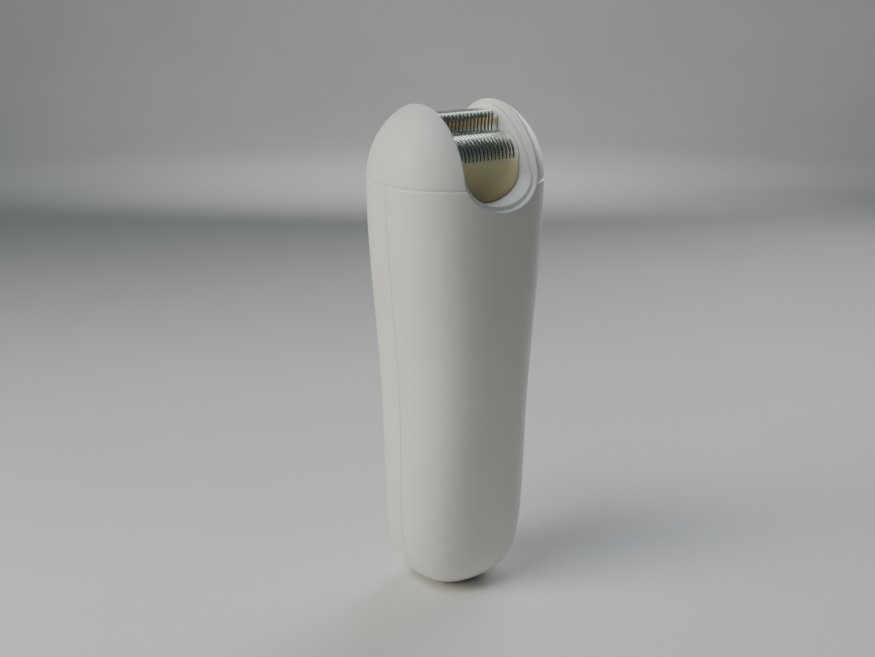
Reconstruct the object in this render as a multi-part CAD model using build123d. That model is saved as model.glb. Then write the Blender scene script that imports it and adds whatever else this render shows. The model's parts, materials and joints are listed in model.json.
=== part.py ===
from build123d import *

# Hand-held epilator: a two-shell handle with a lift-off head and a pair of tweezer drums.
# Millimetres. +Z runs up the handle to the head, X is along the drums, -Y is the front.
# The origin is at the centre of the small flat at the bottom end.
from math import atan, copysign, cos, pi, radians, sin, sqrt, tan
import os

# Outer form
SEAM_Z = 127.5             # joint between the handle and the head
HALF_WIDTH = 25.8          # along X, at the seam
HALF_DEPTH = 23.05         # along Y, at the seam
WAIST_HALF_WIDTH = 21.35   # narrowest half width
WAIST_Z = 52.0             # the handle is at its narrowest below this height
FOOT_HALF_DEPTH = 18.6     # half depth at FOOT_Z
FOOT_Z = 30.0
PLAN_EXPONENT = 2.45       # superellipse exponent of every horizontal section
DOME_HEIGHT = 25.0         # from the seam to the top of the uncut head
HEAD_WIDTH_EXPONENT = 2.4  # roundness of the head seen from the front
HEAD_DEPTH_EXPONENT = 1.8  # roundness of the head seen from the side
END_WIDTH_RISE = 34.0      # height of the rounded bottom end, seen from the front
END_DEPTH_RISE = 16.0      # the same, seen from the side
END_WIDTH_EXPONENT = 3.0
END_DEPTH_EXPONENT = 2.6
END_CUT = 0.25             # how much of the rounded end the bottom flat takes off
WALL = 2.0                 # thickness of the handle's shells
HEAD_WALL = 1.6            # thickness of the ear covers
SEAM_GAP = 0.05            # each side of the seam
SEAM_BEVEL = 0.45
PARTING_GAP = 0.05         # each side of the plane between the two shells
END_FLOOR = 2.4            # top of the solid bottom end
FAR = 60.0                 # half size of cutting blocks that pass through everything

# Opening between the ears
OPENING_HALF_WIDTH = 13.5
OPENING_DEPTH = 9.5        # from OPENING_Z down to its lowest point
OPENING_Z = 130.0          # the straight sides start here
SADDLE_GAP = 0.15
SADDLE_WALL = 1.15
ARCH_Z = 118.5             # foot of the arch that the saddle's edges follow
ARCH_HEIGHT = 30.0
ARCH_HALF_DEPTH = 21.0
ARCH_EXPONENT = 1.8

# Metal guard and tweezer drums
GUARD_FIT = SADDLE_GAP + SADDLE_WALL + 0.15
GUARD_HALF_LENGTH = 12.0
GUARD_SHEET = 0.5
GUARD_FRONT = 14.4         # half depth, over the vertical skirts
GUARD_FOOT_Z = 119.0       # before the skirts are trimmed to the saddle
HUMP_RADIUS = 6.9
HUMP_Z = 134.3
RIDGE_HALF_WIDTH = 5.0
RIDGE_NECK = 4.75
RIDGE_TOP_Z = 147.0
RIDGE_ROUND = 2.3
SLOT_COUNT = 15
SLOT_PITCH = 1.4
SLOT_WIDTH = 0.44
SLOT_BOTTOM_Z = 134.0
DISC_RADIUS = 6.35
DISC_THICKNESS = 0.3
DRUM_Y = 7.0
DRUM_Z = 134.7
HUB_RADIUS = 3.6
SHAFT_RADIUS = 1.2
RUNNING_GAP = 0.05

# Gears
GEAR_MODULE = 0.7
DRUM_TEETH = 20
IDLER_TEETH = 16
LAY_TEETH = 20
CROWN_MODULE = 0.5
PINION_TEETH = 10
CROWN_TEETH = 32
CROWN_FACE = 2.2
BACKLASH = 0.10
GEAR_X = 14.7
GEAR_FACE = 1.8
SHAFT_END_X = GEAR_X + GEAR_FACE + 0.4

# Handle contents
DECK_Z = 124.6
DECK_THICKNESS = 1.8
MOTOR_RADIUS = 9.0
MOTOR_BOTTOM = 66.0
MOTOR_TOP = 95.0
CELL_RADIUS = 7.0
CELL_BOTTOM = 14.0
CELL_LENGTH = 44.5
CELL_Y = -4.5
BOARD_Y = 8.0
BOARD_THICKNESS = 1.2
SLIDER_Z = 54.0
SLIDER_TRAVEL = 4.0
SLIDER_HALF_WIDTH = 4.6
SLIDER_HALF_HEIGHT = 8.0
STEM_HALF_WIDTH = 2.5
STEM_HALF_HEIGHT = 3.2
BUTTON_Z = 112.0
BUTTON_HALF_WIDTH = 4.5
BUTTON_HALF_HEIGHT = 2.5
BUTTON_FACE_Y = 23.0
BUTTON_FOOT_Y = 18.0       # stays clear of the crown gear when the button is pressed in
LIGHT_Z = 72.0
LIGHT_RADIUS = 1.25
SOCKET_RADIUS = 3.9
SOCKET_BORE = 2.8

IDLER_Z = DRUM_Z - GEAR_MODULE * (DRUM_TEETH + IDLER_TEETH) / 2
LAY_Z = IDLER_Z - GEAR_MODULE * (IDLER_TEETH + LAY_TEETH) / 2
CROWN_RADIUS = CROWN_MODULE * CROWN_TEETH / 2
PINION_RADIUS = CROWN_MODULE * PINION_TEETH / 2
PINION_Z = LAY_Z - CROWN_RADIUS
SLOT_SPAN = SLOT_PITCH * (SLOT_COUNT - 1)
PLATE_X = SLOT_SPAN / 2 + SLOT_WIDTH / 2 + 0.3   # inner face of each bearing plate

os.makedirs("parts", exist_ok=True)


def save(name, shape):
    export_step(shape, "parts/" + name + ".step")


def group(solids):
    return Compound(children=list(solids))


def rounded(ratio, exponent):
    """Superellipse ordinate: 1 at ratio 0, falling to 0 at ratio 1."""
    ratio = min(max(ratio, 0.0), 1.0)
    return (1 - ratio ** exponent) ** (1 / exponent)


def handle_half_width(z):
    rise = max(z - WAIST_Z, 0) / (SEAM_Z - WAIST_Z)
    side = WAIST_HALF_WIDTH + (HALF_WIDTH - WAIST_HALF_WIDTH) * (1 - cos(pi * rise)) / 2
    return side * rounded(1 - (z + END_CUT) / END_WIDTH_RISE, END_WIDTH_EXPONENT)


def handle_half_depth(z):
    drop = (SEAM_Z - z) / (SEAM_Z - FOOT_Z)
    side = HALF_DEPTH - (HALF_DEPTH - FOOT_HALF_DEPTH) * max(drop, 0) ** 1.6
    return side * rounded(1 - (z + END_CUT) / END_DEPTH_RISE, END_DEPTH_EXPONENT)


def plan_section(half_x, half_y, z, points=28):
    """Horizontal superellipse face."""
    ring = []
    for i in range(points):
        t = 2 * pi * i / points
        c, s = cos(t), sin(t)
        x = copysign(abs(c) ** (2 / PLAN_EXPONENT), c) * half_x
        y = copysign(abs(s) ** (2 / PLAN_EXPONENT), s) * half_y
        ring.append((x, y, z))
    return make_face(Spline(*ring, periodic=True))


def handle_form(inset, bottom, top):
    """The handle's outer form, shrunk by inset, between two heights."""
    heights = [0, 0.7, 2.2, 5, 9, 14, 20, 27, 36, 50, 65, 80, 95, 110, SEAM_Z]
    levels = [bottom] + [z for z in heights if bottom + 0.5 < z < top - 2] + [top]
    faces = []
    for z in levels:
        faces.append(plan_section(handle_half_width(z) - inset, handle_half_depth(z) - inset, z))
    return loft(faces)


def head_form(inset):
    """The uncut head dome, shrunk by inset."""
    rise = DOME_HEIGHT - inset
    faces = []
    for ratio in (0, 0.14, 0.28, 0.42, 0.55, 0.67, 0.77, 0.85, 0.91, 0.95):
        half_x = (HALF_WIDTH - inset) * rounded(ratio, HEAD_WIDTH_EXPONENT)
        half_y = (HALF_DEPTH - inset) * rounded(ratio, HEAD_DEPTH_EXPONENT)
        faces.append(plan_section(half_x, half_y, SEAM_Z + rise * ratio))
    return loft(faces)


def box(x0, x1, y0, y1, z0, z1):
    centre = Pos((x0 + x1) / 2, (y0 + y1) / 2, (z0 + z1) / 2)
    return centre * Box(x1 - x0, y1 - y0, z1 - z0)


def rod_x(radius, x0, x1, y, z):
    return Pos((x0 + x1) / 2, y, z) * Rot(0, 90, 0) * Cylinder(radius, x1 - x0)


def rod_y(radius, y0, y1, x, z):
    return Pos(x, (y0 + y1) / 2, z) * Rot(90, 0, 0) * Cylinder(radius, y1 - y0)


def rod_z(radius, z0, z1, x, y):
    return Pos(x, y, (z0 + z1) / 2) * Cylinder(radius, z1 - z0)


def u_prism(grow):
    """The U-shaped opening along Y, widened by grow and open at the top."""
    half = OPENING_HALF_WIDTH + grow
    top = OPENING_Z + FAR
    sides = Pos(0, (OPENING_Z + top) / 2) * Rectangle(2 * half, top - OPENING_Z)
    bottom = Pos(0, OPENING_Z) * Ellipse(half, OPENING_DEPTH + grow)
    face = Plane((0, 0, 0), x_dir=(1, 0, 0), z_dir=(0, -1, 0)) * (sides + bottom)
    return extrude(face, FAR, both=True)


def arch_prism(inset):
    """Solid along X inside the saddle's arch as seen from the side."""
    half = ARCH_HALF_DEPTH - inset
    height = ARCH_HEIGHT - inset
    curve = []
    for i in range(25):
        t = pi / 24 * i
        y = copysign(abs(cos(t)) ** (2 / ARCH_EXPONENT), cos(t)) * half
        curve.append((y, ARCH_Z + sin(t) ** (2 / ARCH_EXPONENT) * height))
    crown = Spline(*curve)
    foot = Polyline(curve[-1], (-half, ARCH_Z - 10), (half, ARCH_Z - 10), curve[0])
    side_view = Plane((0, 0, 0), x_dir=(0, 1, 0), z_dir=(1, 0, 0))
    return extrude(side_view * make_face(crown + foot), FAR, both=True)


# Handle shells
def bevelled_handle():
    top = SEAM_Z - SEAM_GAP
    edge = top - SEAM_BEVEL
    wide = plan_section(handle_half_width(edge), handle_half_depth(edge), edge)
    narrow = plan_section(handle_half_width(top) - SEAM_BEVEL, handle_half_depth(top) - SEAM_BEVEL, top)
    return handle_form(0, 0, edge) + loft([wide, narrow], ruled=True)


SCREW_SITES = [(-14.5, 30.0), (14.5, 30.0), (-17.0, 84.0), (17.0, 84.0)]
SCREW_RADIUS = 1.1
SCREW_REACH = 8.0          # how far each screw goes into the front shell
SCREW_HEAD_RADIUS = 2.0
SCREW_HEAD_HEIGHT = 1.6
SCREW_HEAD_Y = 11.0
FRONT_POST_RADIUS = 2.6
REAR_WELL_RADIUS = 3.2
CONTROL_GAP = 0.2          # round the slider's stem and the button in their windows
NOTCH_RIM = 1.4            # shell under the opening's edge, in front of and behind the saddle


def notch_rim(play):
    """Band along the edge of the opening, outside the saddle's arch."""
    return u_prism(NOTCH_RIM + play) - arch_prism(-0.3 + play)


def handle_shells():
    cavity = handle_form(WALL, END_FLOOR, SEAM_Z) - notch_rim(0)
    hollow = bevelled_handle() - cavity - u_prism(0)
    hollow -= rod_z(SOCKET_RADIUS, -1, END_FLOOR + 1, 0, 0)
    post_room = handle_form(WALL / 2, END_FLOOR / 2, SEAM_Z - SEAM_GAP)
    front = hollow & box(-FAR, FAR, -FAR, -PARTING_GAP, -FAR, SEAM_Z)
    rear = hollow & box(-FAR, FAR, PARTING_GAP, FAR, -FAR, SEAM_Z)
    for x, z in SCREW_SITES:
        front += rod_y(FRONT_POST_RADIUS, -FAR, -PARTING_GAP, x, z) & post_room
        front -= rod_y(SCREW_RADIUS + RUNNING_GAP, -SCREW_REACH - 1, 0, x, z)
        rear += rod_y(REAR_WELL_RADIUS, PARTING_GAP, FAR, x, z) & post_room
        rear -= rod_y(SCREW_RADIUS + CONTROL_GAP, 0, FAR, x, z)
        rear -= rod_y(SCREW_HEAD_RADIUS + CONTROL_GAP, SCREW_HEAD_Y, FAR, x, z)
    stem_x = STEM_HALF_WIDTH + CONTROL_GAP
    stem_z = STEM_HALF_HEIGHT + CONTROL_GAP
    rear -= box(-stem_x, stem_x, BOARD_Y, FAR, SLIDER_Z - stem_z, SLIDER_Z + stem_z + SLIDER_TRAVEL)
    button_x = BUTTON_HALF_WIDTH + CONTROL_GAP
    button_z = BUTTON_HALF_HEIGHT + CONTROL_GAP
    rear -= box(-button_x, button_x, BOARD_Y, FAR, BUTTON_Z - button_z, BUTTON_Z + button_z)
    rear -= rod_y(LIGHT_RADIUS + RUNNING_GAP, BOARD_Y, FAR, 0, LIGHT_Z)
    return front, rear


def shell_screws():
    screws = []
    top = SCREW_HEAD_Y + SCREW_HEAD_HEIGHT
    recess = SCREW_HEAD_Y + SCREW_HEAD_HEIGHT / 2
    for x, z in SCREW_SITES:
        shank = rod_y(SCREW_RADIUS, -SCREW_REACH, SCREW_HEAD_Y, x, z)
        head = rod_y(SCREW_HEAD_RADIUS, SCREW_HEAD_Y, top, x, z)
        cross = box(x - 1.2, x + 1.2, recess, top + 1, z - 0.2, z + 0.2)
        cross += box(x - 0.2, x + 0.2, recess, top + 1, z - 1.2, z + 1.2)
        screws.append(shank + head - cross)
    return group(screws)


# Head casing
HEAD_BOTTOM = SEAM_Z + SEAM_GAP
EAR_FLANGE = 1.0
FLANGE_LAP = 1.6           # how far the flange laps behind the saddle
FLOOR_THICKNESS = 1.2
EAR_BOSSES = [(20.0, -6.5), (20.0, 6.5)]
BOSS_RADIUS = 1.7
BOSS_TOP = 143.0
EAR_SCREW_RADIUS = 0.8
EAR_SCREW_LENGTH = 5.3
GEAR_SLOT_X = (GEAR_X - 0.6, GEAR_X + GEAR_FACE + 0.6)
GEAR_SLOT_HALF_DEPTH = 14.6
BUSH_RADIUS = SHAFT_RADIUS + 0.78
BUSH_HOLE = SHAFT_RADIUS + 0.8


def right_ear_cover():
    outside = head_form(0) & box(0, FAR, -FAR, FAR, HEAD_BOTTOM, SEAM_Z + FAR)
    outside -= u_prism(0)
    shell = outside - head_form(HEAD_WALL)
    flange_face = OPENING_HALF_WIDTH + EAR_FLANGE
    flange = outside & box(0, flange_face, -FAR, FAR, HEAD_BOTTOM, SEAM_Z + FAR)
    flange -= arch_prism(FLANGE_LAP)
    cover = shell + flange
    for x, y in EAR_BOSSES:
        boss = rod_z(BOSS_RADIUS, HEAD_BOTTOM + FLOOR_THICKNESS, BOSS_TOP, x, y)
        cover += boss & head_form(HEAD_WALL / 2)
        cover -= rod_z(EAR_SCREW_RADIUS + RUNNING_GAP, HEAD_BOTTOM, HEAD_BOTTOM + 6, x, y)
    return cover


def ear_floor(slotted):
    """Plate that closes the underside of the right ear."""
    top = HEAD_BOTTOM + FLOOR_THICKNESS
    slab = head_form(HEAD_WALL + 0.15) & box(0, FAR, -FAR, FAR, HEAD_BOTTOM, top)
    slab -= box(0, OPENING_HALF_WIDTH + EAR_FLANGE + 0.1, -FAR, FAR, 0, SEAM_Z + FAR)
    for x, y in EAR_BOSSES:
        slab -= rod_z(EAR_SCREW_RADIUS + 0.1, HEAD_BOTTOM - 1, top + 1, x, y)
    if slotted:
        slab -= box(0, GEAR_SLOT_X[1], -GEAR_SLOT_HALF_DEPTH, GEAR_SLOT_HALF_DEPTH, 0, SEAM_Z + FAR)
    return slab


def ear_floor_screws():
    start = HEAD_BOTTOM + 0.2
    screws = []
    for side in (1, -1):
        for x, y in EAR_BOSSES:
            screws.append(rod_z(EAR_SCREW_RADIUS, start, start + EAR_SCREW_LENGTH, side * x, y))
    return group(screws)


def saddle():
    body = u_prism(-SADDLE_GAP) - u_prism(-SADDLE_GAP - SADDLE_WALL)
    body &= arch_prism(0)
    for side in (1, -1):
        body -= rod_x(BUSH_HOLE, -FAR, FAR, side * DRUM_Y, DRUM_Z)
    return body


# Metal guard
def guard_outline(inset):
    """Half of the guard's outline seen from the side: skirt, hump, valley and ridge."""
    front = GUARD_FRONT - inset
    radius = HUMP_RADIUS - inset
    hump_y = GUARD_FRONT - HUMP_RADIUS
    neck = RIDGE_NECK - inset
    shoulder = RIDGE_HALF_WIDTH - inset
    valley_z = HUMP_Z + sqrt(radius ** 2 - (hump_y - neck - 0.9) ** 2)
    foot = (front, GUARD_FOOT_Z)
    skirt_top = (front, HUMP_Z)
    hump_top = (hump_y, HUMP_Z + radius)
    valley = (neck + 0.9, valley_z)
    corner = (neck, valley_z + 0.8)
    side_top = (shoulder, RIDGE_TOP_Z - RIDGE_ROUND)
    crown = (shoulder - RIDGE_ROUND + inset / 2, RIDGE_TOP_Z - inset)
    return foot, skirt_top, hump_top, valley, corner, side_top, crown


def guard_profile(inset):
    foot, skirt_top, hump_top, valley, corner, side_top, crown = guard_outline(inset)
    half = Polyline(foot, skirt_top)
    half += RadiusArc(skirt_top, hump_top, -(HUMP_RADIUS - inset))
    half += RadiusArc(hump_top, valley, -(HUMP_RADIUS - inset))
    half += Spline(valley, corner, tangents=[(-1, 0.15), (0.05, 1)])
    half += Spline(corner, side_top, tangents=[(0.05, 1), (0.02, 1)])
    half += Spline(side_top, crown, tangents=[(0, 1), (-1, 0)])
    half += Line(crown, (0, crown[1]))
    return half


def guard_solid(inset, half_length):
    half = guard_profile(inset)
    bottom = Line((0, GUARD_FOOT_Z), (GUARD_FRONT - inset, GUARD_FOOT_Z))
    closing = Line((0, GUARD_FOOT_Z), (0, RIDGE_TOP_Z - inset))
    face = make_face(half + bottom + closing)
    quarter = extrude(Plane((-half_length, 0, 0), x_dir=(0, 1, 0), z_dir=(1, 0, 0)) * face, 2 * half_length)
    return quarter + mirror(quarter, Plane.XZ)


def disc_places():
    """X of each slot and of the disc that turns in it."""
    return [(i - (SLOT_COUNT - 1) / 2) * SLOT_PITCH for i in range(SLOT_COUNT)]


def guard():
    sheet = guard_solid(0, GUARD_HALF_LENGTH) & u_prism(-GUARD_FIT)
    sheet -= guard_solid(GUARD_SHEET, FAR)
    half = SLOT_WIDTH / 2
    for x in disc_places():
        sheet -= box(x - half, x + half, -FAR, FAR, SLOT_BOTTOM_Z, SLOT_BOTTOM_Z + FAR)
    return sheet


def bearing_plate():
    """Right-hand plate that closes the end of the guard and carries both drums."""
    plate = guard_solid(GUARD_SHEET + 0.02, FAR) & u_prism(-GUARD_FIT - 0.15)
    plate &= box(PLATE_X, GUARD_HALF_LENGTH - 0.1, -FAR, FAR, GUARD_FOOT_Z + 2, SLOT_BOTTOM_Z + FAR)
    for side in (1, -1):
        plate -= rod_x(BUSH_HOLE, 0, FAR, side * DRUM_Y, DRUM_Z)
    return plate


def drum_bushes():
    bushes = []
    for end in (1, -1):
        for side in (1, -1):
            x0, x1 = sorted((end * PLATE_X, end * (OPENING_HALF_WIDTH - SADDLE_GAP)))
            ring = rod_x(BUSH_RADIUS, x0, x1, side * DRUM_Y, DRUM_Z)
            bushes.append(ring - rod_x(SHAFT_RADIUS + RUNNING_GAP, -FAR, FAR, side * DRUM_Y, DRUM_Z))
    return group(bushes)


# Tweezer drums
def tweezer_discs(y):
    discs = []
    half = DISC_THICKNESS / 2
    for x in disc_places():
        disc = rod_x(DISC_RADIUS, x - half, x + half, y, DRUM_Z)
        disc -= rod_x(HUB_RADIUS, x - 1, x + 1, y, DRUM_Z)
        discs.append(disc)
    return group(discs)


def drum_hub(y):
    reach = SLOT_SPAN / 2 + DISC_THICKNESS / 2
    hub = rod_x(HUB_RADIUS, -reach, reach, y, DRUM_Z)
    return hub - rod_x(SHAFT_RADIUS, -FAR, FAR, y, DRUM_Z)


def drum_shaft(y):
    left = -(OPENING_HALF_WIDTH - SADDLE_GAP)
    return rod_x(SHAFT_RADIUS, left, SHAFT_END_X, y, DRUM_Z)


# Gears
def tooth_step(teeth):
    return 2 * pi / teeth


def involute_angle(radius, base):
    """Polar angle that an involute has turned through at a radius."""
    stretch = sqrt(max((radius / base) ** 2 - 1, 0))
    return stretch - atan(stretch)


def spur_gear(module, teeth, thickness, bore, first_tooth):
    """Spur gear about +Z with flat flanks; a tooth is centred on the angle first_tooth."""
    pitch = module * teeth / 2
    tip = pitch + module
    root = pitch - 1.2 * module
    base = pitch * cos(radians(20))
    half_pitch_angle = pi / (2 * teeth) - BACKLASH / (2 * pitch)
    lean = involute_angle(pitch, base)
    flank = []
    for radius in (max(root, base), pitch, tip):
        flank.append((radius, half_pitch_angle + lean - involute_angle(radius, base)))
    if root < base:
        flank.insert(0, (root, flank[0][1]))
    sides = [(radius, -angle) for radius, angle in flank] + flank[::-1]
    outline = []
    for i in range(teeth):
        centre = first_tooth + tooth_step(teeth) * i
        outline += [(r * cos(centre + a), r * sin(centre + a)) for r, a in sides]
    gear = extrude(make_face(Polyline(*outline, close=True)), thickness)
    if bore:
        gear -= rod_z(bore, -1, thickness + 1, 0, 0)
    return gear


def on_x_axis(shape, x, y, z):
    """Turn a shape made about +Z so that its axis is +X and its angles run from +Y to +Z."""
    return Plane((x, y, z), x_dir=(0, 1, 0), z_dir=(1, 0, 0)) * shape


def crown_gear():
    """Face gear about +X whose teeth point towards -X; a gap is at its lowest point."""
    pitch_x = PINION_RADIUS
    tip_x = pitch_x - CROWN_MODULE
    root_x = pitch_x + 1.25 * CROWN_MODULE
    outer = CROWN_RADIUS + CROWN_FACE / 2
    disc = rod_x(outer, root_x, root_x + 1.6, DRUM_Y, LAY_Z)
    hub = rod_x(2.6, root_x, root_x + 3.0, DRUM_Y, LAY_Z)
    gear = disc + hub
    pitch_width = pi * CROWN_MODULE / 2 - BACKLASH
    slope = tan(radians(20))
    root_half = pitch_width / 2 + (root_x - pitch_x) * slope
    tip_half = pitch_width / 2 - CROWN_MODULE * slope
    for i in range(CROWN_TEETH):
        turn = 360 / CROWN_TEETH * (i + 0.5)
        tooth = make_face(Polyline((tip_x, -tip_half), (tip_x, tip_half), (root_x + 0.2, root_half),
                                   (root_x + 0.2, -root_half), close=True))
        tooth = Pos(0, 0, -outer) * extrude(tooth, CROWN_FACE)
        gear += Pos(0, DRUM_Y, LAY_Z) * Rot(turn, 0, 0) * tooth
    return gear - rod_x(SHAFT_RADIUS, 0, FAR, DRUM_Y, LAY_Z)


def drive_gears():
    face = GEAR_FACE
    bore = SHAFT_RADIUS
    up = pi / 2
    gap = tooth_step(DRUM_TEETH) / 2
    lay_gap = tooth_step(LAY_TEETH) / 2
    save("lay_shaft_gear", on_x_axis(spur_gear(GEAR_MODULE, LAY_TEETH, face, bore, up + lay_gap),
                                     GEAR_X, DRUM_Y, LAY_Z))
    save("idler_gear", on_x_axis(spur_gear(GEAR_MODULE, IDLER_TEETH, face, bore + RUNNING_GAP, up),
                                 GEAR_X, DRUM_Y, IDLER_Z))
    save("rear_drum_gear", on_x_axis(spur_gear(GEAR_MODULE, DRUM_TEETH, face, bore, -up + gap),
                                     GEAR_X, DRUM_Y, DRUM_Z))
    save("front_drum_gear", on_x_axis(spur_gear(GEAR_MODULE, DRUM_TEETH, face, bore, 0),
                                      GEAR_X, -DRUM_Y, DRUM_Z))
    save("crown_gear", crown_gear())
    length = CROWN_FACE + 1.0
    pinion = spur_gear(CROWN_MODULE, PINION_TEETH, length, MOTOR_SHAFT_RADIUS, 0)
    save("motor_pinion", Pos(0, DRUM_Y, PINION_Z - length / 2) * pinion)


# Drive chassis and shafts
BASE_TOP = 97.5
PLATE_A = (7.0, 8.6)
PLATE_B = (12.9, 14.2)
PLATE_HALF_DEPTH = 6.0
MOTOR_NOSE_RADIUS = 3.2
MOTOR_WALL = 1.0
MOTOR_SHAFT_RADIUS = 1.0
MOTOR_SCREW_RADIUS = 1.0
MOTOR_SCREW_Y = (DRUM_Y - 6.2, DRUM_Y + 6.2)


def drive_chassis():
    room = handle_form(WALL + 0.3, 90, 125)
    base = box(-13, PLATE_B[1], -4, 17.4, MOTOR_TOP + 0.1, BASE_TOP)
    half = PLATE_HALF_DEPTH
    plate_a = box(PLATE_A[0], PLATE_A[1], DRUM_Y - half, DRUM_Y + half, BASE_TOP - 0.5, LAY_Z + 6)
    plate_b = box(PLATE_B[0], PLATE_B[1], DRUM_Y - half, DRUM_Y + half, BASE_TOP - 0.5, DECK_Z - 0.2)
    chassis = (base + plate_a + plate_b) & room
    chassis -= u_prism(1.8)
    chassis -= rod_z(MOTOR_NOSE_RADIUS + 0.2, MOTOR_TOP - 5, BASE_TOP + 1, 0, DRUM_Y)
    for y in MOTOR_SCREW_Y:
        chassis -= rod_z(MOTOR_SCREW_RADIUS + 0.1, MOTOR_TOP - 5, BASE_TOP + 1, 0, y)
    chassis -= rod_x(BUSH_HOLE, 0, FAR, DRUM_Y, LAY_Z)
    chassis -= rod_x(SHAFT_RADIUS, 0, FAR, DRUM_Y, IDLER_Z)
    return chassis


def lay_shaft_bushes():
    bushes = []
    for x0, x1 in (PLATE_A, PLATE_B):
        ring = rod_x(BUSH_RADIUS, x0, x1 + 0.2, DRUM_Y, LAY_Z)
        bushes.append(ring - rod_x(SHAFT_RADIUS + RUNNING_GAP, 0, FAR, DRUM_Y, LAY_Z))
    return group(bushes)


def motor_screws():
    screws = []
    for y in MOTOR_SCREW_Y:
        shank = rod_z(MOTOR_SCREW_RADIUS, MOTOR_TOP - 2.5, BASE_TOP, 0, y)
        screws.append(shank + rod_z(1.8, BASE_TOP, BASE_TOP + 1.2, 0, y))
    return group(screws)


def motor_can():
    can = rod_z(MOTOR_RADIUS, MOTOR_BOTTOM + 1, MOTOR_TOP, 0, DRUM_Y)
    can += rod_z(MOTOR_NOSE_RADIUS, MOTOR_TOP, MOTOR_TOP + 1.5, 0, DRUM_Y)
    can -= rod_z(MOTOR_RADIUS - MOTOR_WALL, MOTOR_BOTTOM, MOTOR_TOP - 1.5, 0, DRUM_Y)
    can -= rod_z(MOTOR_SHAFT_RADIUS + RUNNING_GAP, MOTOR_BOTTOM, MOTOR_TOP + 3, 0, DRUM_Y)
    for y in MOTOR_SCREW_Y:
        can -= rod_z(MOTOR_SCREW_RADIUS + RUNNING_GAP, MOTOR_TOP - 3, MOTOR_TOP + 1, 0, y)
    return can


def motor_magnets():
    ring = rod_z(MOTOR_RADIUS - MOTOR_WALL - 0.05, MOTOR_BOTTOM + 5, MOTOR_TOP - 5, 0, DRUM_Y)
    ring -= rod_z(MOTOR_RADIUS - 2.6, MOTOR_BOTTOM, MOTOR_TOP, 0, DRUM_Y)
    right = ring & box(2, FAR, -FAR, FAR, MOTOR_BOTTOM, MOTOR_TOP)
    left = ring & box(-FAR, -2, -FAR, FAR, MOTOR_BOTTOM, MOTOR_TOP)
    return group([right, left])


def motor_end_cap():
    cap = rod_z(MOTOR_RADIUS, MOTOR_BOTTOM, MOTOR_BOTTOM + 1, 0, DRUM_Y)
    cap += rod_z(MOTOR_RADIUS - MOTOR_WALL - 0.05, MOTOR_BOTTOM, MOTOR_BOTTOM + 3, 0, DRUM_Y)
    cap -= rod_z(MOTOR_SHAFT_RADIUS + RUNNING_GAP, MOTOR_BOTTOM - 1, MOTOR_BOTTOM + 5, 0, DRUM_Y)
    for x in (-4.0, 4.0):
        cap += box(x - 1.2, x + 1.2, DRUM_Y - 0.2, DRUM_Y + 0.2, MOTOR_BOTTOM - 3, MOTOR_BOTTOM + 1)
    return cap


def motor_rotor():
    core = rod_z(5.6, MOTOR_BOTTOM + 6, MOTOR_TOP - 6, 0, DRUM_Y)
    for i in range(3):
        slot = box(2.6, 7, -0.6, 0.6, MOTOR_BOTTOM, MOTOR_TOP)
        core -= Pos(0, DRUM_Y, 0) * Rot(0, 0, 120 * i) * slot
    return core - rod_z(MOTOR_SHAFT_RADIUS, MOTOR_BOTTOM, MOTOR_TOP, 0, DRUM_Y)


def top_deck():
    """Closes the handle under the head: a trough under the saddle and a wing each side."""
    room = handle_form(WALL + 0.2, 112, SEAM_Z - 0.3)
    top = DECK_Z + DECK_THICKNESS
    trough = u_prism(SADDLE_GAP + 1.25) - u_prism(SADDLE_GAP)
    trough &= box(-FAR, FAR, -FAR, FAR, 0, top)
    wings = box(-FAR, FAR, -FAR, FAR, DECK_Z, top) - u_prism(0.5)
    deck = (trough + wings) & room
    deck -= notch_rim(0.15)
    slot_half = GEAR_MODULE * (IDLER_TEETH / 2 + 1) + 0.5
    deck -= box(GEAR_SLOT_X[0], GEAR_SLOT_X[1], DRUM_Y - slot_half, DRUM_Y + slot_half, 0, SEAM_Z)
    return deck


# Electrical parts
def battery_cell():
    cell = rod_z(CELL_RADIUS, CELL_BOTTOM, CELL_BOTTOM + CELL_LENGTH - 1.5, 0, CELL_Y)
    return cell + rod_z(2.7, CELL_BOTTOM, CELL_BOTTOM + CELL_LENGTH, 0, CELL_Y)


def battery_contacts():
    top = CELL_BOTTOM + CELL_LENGTH
    lower = box(-3, 3, CELL_Y - 3, BOARD_Y, CELL_BOTTOM - 0.3, CELL_BOTTOM)
    upper = box(-3, 3, CELL_Y - 3, BOARD_Y, top, top + 0.3)
    return group([lower, upper])


def battery_cradle():
    room = handle_form(WALL + 0.3, 8, 70)
    cradle = box(-9.5, 9.5, -15, 2, CELL_BOTTOM + 4, CELL_BOTTOM + CELL_LENGTH - 6)
    cradle -= rod_z(CELL_RADIUS + 0.1, 0, 80, 0, CELL_Y)
    cradle -= box(-20, 20, -20, 20, CELL_BOTTOM + 12, CELL_BOTTOM + CELL_LENGTH - 14)
    return group((cradle & room).solids())


def circuit_board():
    return box(-9, 9, BOARD_Y, BOARD_Y + BOARD_THICKNESS, 16, 62)


def board_components():
    face = BOARD_Y + BOARD_THICKNESS
    places = [(-5, 24, 4, 4, 1.4), (4, 27, 6, 3, 1.8), (-4, 36, 5, 6, 1.2), (5, 40, 3, 3, 2.4),
              (-6, 50, 2, 3, 1.0)]
    chips = []
    for x, z, width, height, thick in places:
        chips.append(box(x - width / 2, x + width / 2, face, face + thick, z - height / 2, z + height / 2))
    return group(chips)


def slide_switch():
    face = BOARD_Y + BOARD_THICKNESS
    return box(-3, 3, face, face + 3.4, SLIDER_Z - 6, SLIDER_Z + 5.5)


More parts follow.
